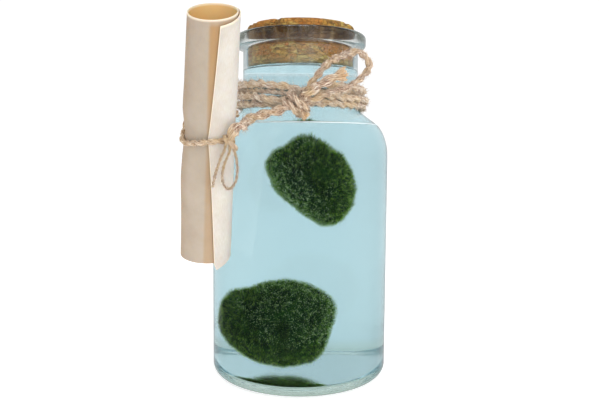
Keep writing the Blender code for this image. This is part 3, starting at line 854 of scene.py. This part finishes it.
# ---- cork ----
def crumble(point):
    """Granules, seams and pits pressed into the cork's skin, always inwards."""
    if point.length < 1e-6:
        return point
    place = Vector((point.x, point.y, point.z * 1.5)) * CORK_CRUMBS
    near, _ = noise.voronoi(place)
    seam = max(0.0, 1.0 - (near[1] - near[0]) / 0.16)
    hole = max(0.0, noise.noise(place * 0.55 + Vector((9, 3, 5))) - 0.22) * 4.0
    depth = (0.16 * seam + 0.65 * min(hole, 1.0) + 0.06) * MM
    middle = Vector((0, 0, min(point.z, CORK_TOP - 0.006)))
    return point - (point - middle).normalized() * depth


def make_cork(material):
    side_steps, edge = 46, 0.0013
    profile = [(0.0, CORK_FOOT)] + line((0.0, CORK_FOOT), (CORK_FOOT_RADIUS - 0.0008, CORK_FOOT), 8)
    profile += [(CORK_FOOT_RADIUS - 0.0008, CORK_FOOT), (CORK_FOOT_RADIUS, CORK_FOOT + 0.0008)]
    profile += line((CORK_FOOT_RADIUS, CORK_FOOT + 0.0008), (CORK_TOP_RADIUS, CORK_TOP - edge), side_steps)
    profile += arc(CORK_TOP_RADIUS - edge, CORK_TOP - edge, edge, edge, 0, 90, 6)
    profile += line((CORK_TOP_RADIUS - edge, CORK_TOP), (0.0, CORK_TOP), 30) + [(0.0, CORK_TOP)]
    piece = turned("cork", profile, [material], shift=crumble, steps=256)
    hand_in(piece, "cork", "cork_stopper")


# ---- moss ----
def outline_radius(outline, degrees):
    """Radius in metres at an angle, on a smooth closed curve."""
    count = len(outline)
    place = (degrees % 360.0) / 360.0 * count
    i = int(place)
    return spline(*(outline[(i + k) % count] for k in (-1, 0, 1, 2)), place - i) * MM


def moss_body(name, centre, outline, depth, material, seed):
    """The ball's felted body: the part's lumpy form, drawn in by the pile and roughened."""
    bm = bmesh.new()
    bmesh.ops.create_icosphere(bm, subdivisions=6, radius=1.0)
    for vert in bm.verts:
        x, y, z = vert.co
        across = math.hypot(x, z)
        turn = math.degrees(math.atan2(z, x))
        lean = 1.0 + 0.06 * math.sin(math.radians(2 * turn) + 2.0) * across
        radius = outline_radius(outline, turn) * across ** 0.85
        shape = Vector((radius * x / max(across, 1e-6), depth * lean * y, radius * z / max(across, 1e-6)))
        place = shape / MM
        lumps = 0.9 * noise.noise(place * 0.24 + Vector((seed, 0, 0)))
        lumps += 0.65 * noise.noise(place * 0.62 + Vector((0, seed, 0)))
        lumps += 0.35 * noise.noise(place * 1.7)
        vert.co = centre + shape + shape.normalized() * (lumps * MM - PILE)
    return placed_mesh(name, bm, material)


def make_moss():
    felt = make_felt_material()
    # painted light and shade along each filament: dark roots, bright pale tips
    tips = make_thread_material("moss_filaments", 0.6, (0.6, 1.0, 0.3), 0.0004, (
        (0.0, (12, 32, 16)), (0.3, (32, 66, 26)), (0.55, (108, 164, 28)), (0.85, (208, 246, 78))),
        patchy=True)
    # long pale filaments that stand out of the pile and show as a halo at its edge; their pale tips are
    # painted light, as on the pile
    fuzz_finish = make_thread_material("moss_fuzz", 0.5, (0.6, 1.0, 0.4), 0.0005, (
        (0.0, (24, 50, 20)), (0.4, (86, 134, 30)), (0.7, (190, 228, 96))))
    # painted light: the bubbles are opaque beads whose pale colour stands in for light glinting off them
    bubble_glint = mottled_material("clinging_bubbles", 900.0, 4.0, (0.3, (164, 200, 116)),
                               (0.7, (238, 250, 196)), Roughness=0.15, Specular_IOR_Level=0.8)
    upright = thread_item("upright_filament", 1.6 * MM, 0.11 * MM, 0.3)
    fuzz = thread_item("fuzz", 2.2 * MM, 0.055 * MM, 0.3)
    bead = bubble_item()
    for name, centre, outline, depth, seed, side in (
            ("upper", UPPER_CENTRE, UPPER_OUTLINE, UPPER_DEPTH, 3.0, Vector((-0.85, -0.2, -0.3))),
            ("lower", LOWER_CENTRE, LOWER_OUTLINE, LOWER_DEPTH, 11.0, Vector((0.6, -0.2, 0.7)))):
        body = moss_body("moss_" + name, centre, outline, depth, felt, seed)
        area = sum(p.area for p in body.data.polygons)
        pile = scatter("moss_filaments_" + name, body, upright, tips, FILAMENTS / area, int(seed),
                       (0.55, 1.1), (0.0, 0.75))
        halo = scatter("moss_fuzz_" + name, body, fuzz, fuzz_finish, FUZZ_THREADS / area, int(seed) + 2,
                       (0.65, 1.0), (0.0, 0.35))
        crowd_bubbles(body, centre, side)
        specks = scatter("moss_bubbles_" + name, body, bead, bubble_glint, BUBBLES / area, int(seed) + 1,
                         (0.4, 1.0), (0.0, 0.3))
        body.data.attributes.remove(body.data.attributes["Crowded"])
        hand_in(body, "moss", "moss_ball_" + name)
        for piece in (pile, halo, specks):
            hand_in(piece, "moss")
    for item in (upright, fuzz, bead):
        bpy.data.objects.remove(item, do_unlink=True)


def crowd_bubbles(body, centre, side):
    """Bubbles crowd on one side of a ball and in patches elsewhere."""
    share = []
    for vert in body.data.vertices:
        away = vert.co - centre
        patch = noise.noise(away / (7 * MM)) * 0.9 + away.normalized().dot(side)
        share.append(min(1.0, max(0.02, 0.24 + 1.8 * patch)))
    set_attribute(body, "Crowded", share)


def bubble_item():
    """A bubble that sits in the pile."""
    bm = bmesh.new()
    bmesh.ops.create_icosphere(bm, subdivisions=1, radius=BUBBLE_RADIUS)
    bmesh.ops.translate(bm, vec=(0, 0, BUBBLE_HEIGHT), verts=bm.verts)
    return placed_mesh("bubble", bm)


# ---- twine ----
def eased_steps(table, steps=4):
    """Fill in a table of angles and heights, eased from each height to the next."""
    for (turn_a, high_a), (turn_b, high_b) in zip(table, table[1:]):
        for i in range(steps):
            share = i / steps
            yield (turn_a + (turn_b - turn_a) * share,
                   high_a + (high_b - high_a) * share ** 2 * (3 - 2 * share))
    yield table[-1]


def at_turn(radius, degrees, height):
    turn = math.radians(degrees)
    return radius * math.cos(turn), radius * math.sin(turn), height


def round_neck():
    angles, sinks, lifts = zip(*WRAP_PULL)
    route = []
    for angle, height in eased_steps(WRAP_HEIGHTS):
        radius = NECK_RADIUS + TWINE / 2 + GAP + np.interp(angle, angles, lifts) * MM
        route.append(at_turn(radius, angle, (height - np.interp(angle, angles, sinks)) * MM))
    return route


def on_scroll(angle, height, radius):
    """A place on the roll: 0 degrees is its right, 90 its back."""
    along = (SCROLL_HEAD - SCROLL_FOOT).normalized()
    right = (Vector((1, 0, 0)) - along * along.x).normalized()
    turn = math.radians(angle)
    outwards = right * math.cos(turn) + along.cross(right) * math.sin(turn)
    return SCROLL_FOOT + along * height + outwards * radius


def leftness(angle):
    """1 at the roll's left, 0 from its front round to its back."""
    return max(0.0, -math.cos(math.radians(angle)))


def round_scroll():
    """The tie's way round the roll, closer at the left, where it pulls hardest."""
    return [on_scroll(angle, height * MM, TIE_RADIUS - 0.0005 * leftness(angle))
            for angle, height in eased_steps(TIE_HEIGHTS)]


def in_metres(route):
    return [Vector(p) * MM for p in route]


def make_twine():
    jute = make_jute_material("jute", 0.25, [(112, 70, 58), (200, 166, 142), (236, 212, 187),
                                             (255, 248, 234)])
    # a lighter copy of the same jute, with more sheen: painted light for the wraps round the neck and the
    # loosened ply, which lie in the shade of the lip and the scroll
    lit_jute = make_jute_material("lit_jute", 0.8, [(154, 110, 92), (238, 212, 187), (254, 243, 225),
                                                      (255, 254, 249)])
    hair_finish = mottled_material("jute_hairs", 1500.0, 2.0, (0.40, (156, 116, 96)),
                                   (0.5, (234, 210, 184)), (0.60, (255, 249, 236)),
                                   Roughness=0.7, Specular_IOR_Level=0.3)
    ropes = []

    def add_rope(name, route, diameter, nodes, material=jute, **more):
        points = smooth_path(route, ROPE_STEP)
        piece = rope(name, points, diameter, TWIST * diameter, material, seed=len(ropes), **more)
        hand_in(piece, "jute", *nodes)
        ropes.append((piece, diameter, polyline_length(points)))
        return piece, [tuple(p) for p in points[::4]] + [tuple(points[-1])], polyline_length(points)

    add_rope("wrapped_twine", round_neck(), TWINE * 1.06, ["neck_twine"], material=lit_jute)

    loose = [at_turn(LOOSE_PLY_RADIUS, turn, height) for turn, height in LOOSE_PLY]
    add_rope("loosened_ply", in_metres(loose), 0.0018, [], material=lit_jute, fibres=7)

    strap = in_metres([(-3.0, -25.6, 103.2), (-3.4, -28.4, 103.0), (-2.2, -30.6, 101.8),
                       (-0.2, -31.4, 100.0), (1.4, -30.8, 98.4), (2.2, -28.8, 97.4), (1.6, -26.0, 97.8)])
    add_rope("neck_knot", strap, TWINE, ["twine_knot"])
    second = in_metres([(-5.0, -25.8, 101.4), (-5.2, -28.2, 101.0), (-4.0, -30.3, 99.8), (-2.2, -31.0, 98.2),
                        (-0.7, -30.2, 96.9), (-0.2, -28.4, 96.4), (-0.6, -26.0, 96.8)])
    add_rope("neck_knot_turn", second, TWINE, [])
    tuft = in_metres([(2.6, -31.6, 94.9), (1.2, -31.4, 96.2), (-0.6, -30.2, 98.2)])
    add_rope("knot_tuft", tuft, 0.0022, [], frayed=0.003)

    loop_route = in_metres([(-0.2, -27.4, 101.4)] + BOW_LOOP + [(1.6, -29.0, 100.0)])
    loop, path, length = add_rope("bow", loop_route, TWINE * 0.92, ["bow_loop"])

    lead_route = in_metres(list(reversed(CUT_END)) + [(1.2, -30.0, 102.0), (-1.8, -28.2, 100.0),
                                                      (-4.6, -28.6, 98.6)] + LEAD)
    lead_route += [Vector((-20.9, -47.6, 88.9)) * MM, SCROLL_KNOT]
    lead, path, length = add_rope("lead_and_cut_end", lead_route, LEAD_TWINE,
                                  ["twine_cut_end", "scroll_lead"], frayed=0.006, fibres=11)

    ring_route = [on_scroll(-50, 0.0443, TIE_RADIUS)] + round_scroll()
    ring_route += [on_scroll(-334, 0.0500, TIE_RADIUS)]
    ring, path, length = add_rope("scroll_ring", ring_route, TIE_TWINE * 0.85, ["scroll_tie"])

    knot_route = in_metres([(-22.8, -45.9, 88.6), (-22.6, -47.6, 88.0), (-21.4, -48.4, 86.7),
                            (-20.0, -47.6, 85.3), (-19.6, -45.6, 84.8)])
    add_rope("scroll_knot_turn", knot_route, 0.0018, ["scroll_knot"])

    bow_route = in_metres(list(reversed(SMALL_TAIL)) + [(-22.4, -48.2, 86.2), (-21.2, -48.5, 87.0),
                                                        (-20.2, -47.9, 86.0)]
                          + list(reversed(SMALL_LOOP)) + [(-21.4, -47.7, 86.0)])
    small, path, length = add_rope("small_bow", bow_route, THIN_TWINE, ["small_tail", "small_loop"],
                                   fibres=5, sides=3)

    long_hair = thread_item("long_hair", 2.2 * MM, 0.11 * MM, 0.7)
    hairs = []
    for number, (piece, diameter, length) in enumerate(ropes):
        density = HAIRS_PER_METRE * length / sum(p.area for p in piece.data.polygons)
        sizes = (0.25, 0.6) if diameter < 0.0021 else (0.35, 1.15)
        hairs.append(scatter("hairs_%d" % number, piece, long_hair, hair_finish, density, number + 5, sizes,
                             (0.85, 1.5)))
    all_hairs = join_pieces("twine_hairs", hairs)
    all_hairs.visible_glossy = False     # too fine to be seen mirrored in the glass
    hand_in(all_hairs, "jute")
    bpy.data.objects.remove(long_hair, do_unlink=True)


# ---- paper scroll ----
def edge_shift(height):
    """How far the outer edge has slipped round at a height: the tie pulls the roll tight there."""
    away = abs(height / MM - TIE_LEVEL)
    return SHEET_START - 9.0 + 1.15 * away ** 0.8 + 6.0 * max(0.0, 1.0 - height / 0.002)


def head_height(angle):
    """The head slants back a little, and the free corner of the sheet has slid down."""
    slid = max(0.0, 1.0 - (angle - SHEET_START) / 78.0)
    slant = HEAD_SLANT * math.cos(math.radians(angle - 75.0))
    return (HEAD_HEIGHT + slant - CORNER_SLID * min(1.0, slid)) * MM


def slack(angle, height):
    """The roll is loose on its left side and bulges there, but not where the tie pulls it tight."""
    return np.interp(height / MM, *zip(*BULGE)) * MM * leftness(angle) ** 1.5


def foot_height(angle):
    droop = max(0.0, 1.0 - (angle - SHEET_START) / 60.0)
    return (FOOT_DROOP - FOOT_DROOP * droop) * MM


def make_scroll(material):
    """One sheet of real thickness, rolled up, with its outer edge slanting along the roll."""
    around, up = 200, 72
    verts, uvs_of, tone_and_shade, rim = [], [], [], []
    for face in (0, 1):
        for i in range(around + 1):
            share = i / around
            for k in range(up + 1):
                level = k / up
                rough_angle = SHEET_START + SHEET_TURN * share
                height = foot_height(rough_angle) * (1 - level) + head_height(rough_angle) * level
                start = edge_shift(height)
                angle = start + (SHEET_START + SHEET_TURN - start) * share
                radius = SCROLL_RADIUS - LAYER_PITCH * (angle - SHEET_START) / 360.0 - PAPER * face
                squeeze = 0.00045 * math.exp(-((height / MM - 43.5) / 9.0) ** 2)
                place = Vector((math.cos(math.radians(angle)) * 2, share * 3, height * 60))
                wave = 0.00010 * noise.noise(place)
                verts.append(on_scroll(angle, height, radius - squeeze + wave + slack(angle, height)))
                uvs_of.append((share * SHEET_LENGTH, height / MM))
                # the stripe beside the flap's edge is painted tan, partly as yellowing and partly as the
                # shade the flap casts there
                faded = 0.42 + 0.33 * min(1.0, max(0.0, (height / MM - 40.0) / 30.0))
                stripe = min(1.0, max(0.0, (angle - STRIPE_EDGE) / 6.0))
                side = 0.20 * max(0.0, 1.0 - abs(angle - FAINT_TONE) / 20.0)
                near_head = min(1.0, max(0.0, (head_height(rough_angle) - height) / MM - 0.7))
                tone_and_shade.append(1.0 if face else max(faded * stripe, side) * near_head)
                # where a highlight is painted: the sheet's head edge and its outer free edge
                rim.append(float(k == up or (i == 0 and face == 0)))

    faces = []

    def quad(*corners):
        faces.append([(face * (around + 1) + i) * (up + 1) + k for face, i, k in corners])

    for i in range(around):
        for k in range(up):
            quad((0, i, k), (0, i + 1, k), (0, i + 1, k + 1), (0, i, k + 1))
            quad((1, i, k), (1, i, k + 1), (1, i + 1, k + 1), (1, i + 1, k))
    for i in range(around):
        quad((0, i, 0), (1, i, 0), (1, i + 1, 0), (0, i + 1, 0))
        quad((0, i, up), (0, i + 1, up), (1, i + 1, up), (1, i, up))
    for k in range(up):
        quad((0, 0, k), (0, 0, k + 1), (1, 0, k + 1), (1, 0, k))
        quad((0, around, k), (1, around, k), (1, around, k + 1), (0, around, k + 1))
    piece = finish_piece("scroll", verts, faces, [material])
    layer = piece.data.uv_layers.new(name="Sheet")
    flat = [uvs_of[piece.data.loops[n].vertex_index] for n in range(len(piece.data.loops))]
    layer.data.foreach_set("uv", np.array(flat).ravel())
    set_attribute(piece, "ToneAndShade", tone_and_shade)
    set_attribute(piece, "EdgeHighlight", rim)
    piece.data.set_sharp_from_angle(angle=math.radians(50))
    hand_in(piece, "paper", "paper_scroll")


# ---- studio ----
def lamp(name, place, size, power):
    light = placed(name, bpy.data.lights.new(name, "AREA"))
    light.location = place
    light.data.size = size
    light.data.energy = power
    return light


def make_studio():
    scene = bpy.context.scene
    scene.view_settings.view_transform = "Standard"
    scene.view_settings.look = "None"
    # light runs round in the thick base of the bottle, which stays black if its way is cut short
    scene.cycles.max_bounces = LIGHT_BOUNCES
    scene.cycles.glossy_bounces = LIGHT_BOUNCES
    scene.cycles.transmission_bounces = LIGHT_BOUNCES

    camera = placed("camera", bpy.data.cameras.new("camera"))
    camera.data.lens = CAMERA_LENS
    camera.data.sensor_width = 36.0
    camera.data.clip_start = 0.005
    tilt = Matrix.Rotation(math.radians(90 - CAMERA_PITCH), 4, "X")
    roll = Matrix.Rotation(math.radians(CAMERA_ROLL), 4, "Z")
    camera.matrix_world = Matrix.Translation(CAMERA_PLACE) @ tilt @ roll
    scene.camera = camera

    floor_finish, tree, shader = new_material("pale_floor", Roughness=0.6, Specular_IOR_Level=0.2,
                                              Emission_Color=WHITE)
    paint(tree, shader, ramp(tree, noise_of(tree, object_coordinates(tree), 3.0), (0.3, 0.93), (0.7, 0.95)))
    # the floor glows a little all over, and a round of it under the bottle glows brighter: painted light
    # that lifts the shade the bottle would cast there
    away = add(tree, "ShaderNodeVectorMath", {0: object_coordinates(tree)}, operation="LENGTH")
    painted_glow = ranged(tree, away.outputs["Value"], GLOW_RADIUS, GLOW_RADIUS + 0.007, 0.75, 0.5, "SMOOTHSTEP")
    tree.links.new(painted_glow, shader.inputs["Emission Strength"])
    corners = ((-1, -1), (1, -1), (1, 1), (-1, 1))
    floor = finish_piece("floor", [(x * FLOOR_REACH, y * FLOOR_REACH, FLOOR_Z) for x, y in corners],
                         [(0, 1, 2, 3)], [floor_finish], smooth=False)
    floor.visible_glossy = False     # so the glass mirrors the dark side of the studio instead

    world = bpy.data.worlds.new("studio")
    scene.world = world
    world.use_nodes = True
    sky = world.node_tree
    direction = add(sky, "ShaderNodeTexCoord").outputs["Generated"]
    parts = add(sky, "ShaderNodeSeparateXYZ", {"Vector": direction})
    path = add(sky, "ShaderNodeLightPath").outputs

    def eased(axis, low, high, dark, bright):
        return ranged(sky, parts.outputs[axis], low, high, dark, bright, "SMOOTHSTEP")

    def chosen(condition, otherwise, then):
        both = maths(sky, "MULTIPLY", condition, then)
        rest = maths(sky, "MULTIPLY", maths(sky, "SUBTRACT", 1.0, condition), otherwise)
        return maths(sky, "ADD", both, rest)

    # the studio is white behind and overhead and dimmer in front; mirrored in the glass its front is dark
    lit = eased("Y", -0.1, 0.5, 0.62, 1.0)
    through = maths(sky, "MAXIMUM", eased("Y", -0.3, 0.5, 0.85, 1.02), eased("Z", 0.35, 0.9, 0.85, 1.02))
    mirrored = eased("Y", 0.35, 0.85, 0.02, 0.6)
    mirror_ray = maths(sky, "MULTIPLY", path["Is Glossy Ray"], path["Is Reflection Ray"])
    strength = chosen(path["Is Transmission Ray"], lit, through)
    strength = chosen(mirror_ray, strength, mirrored)
    strength = chosen(path["Is Camera Ray"], strength, WHITE_GROUND)
    sky.links.new(strength, sky.nodes["Background"].inputs["Strength"])
    sky.nodes["Background"].inputs["Color"].default_value = WHITE

    # a short strip lamp overhead that shows only as a line of light in the glass
    strip = lamp("strip", (0.0, 0.09, 0.66), 0.26, 0.5)
    strip.data.shape = "RECTANGLE"
    strip.data.size_y = 0.10
    strip.visible_diffuse = False
    strip.visible_transmission = False

    # the big soft lamps in front don't mirror in the glass
    for name, place, power in (("key", (0.50, -0.60, 0.45), 2.0), ("fill", (-0.02, -0.80, 0.14), 1.9)):
        light = lamp(name, place, 0.8, power)
        light.visible_glossy = False
        light.rotation_euler = (LAMPS_AIM - Vector(place)).to_track_quat("-Z", "Y").to_euler()


make_studio()
make_twine()
make_bottle(*make_glass())
make_water_body(*make_water())
make_cork(make_cork_material())
make_moss()
make_scroll(make_paper_material())
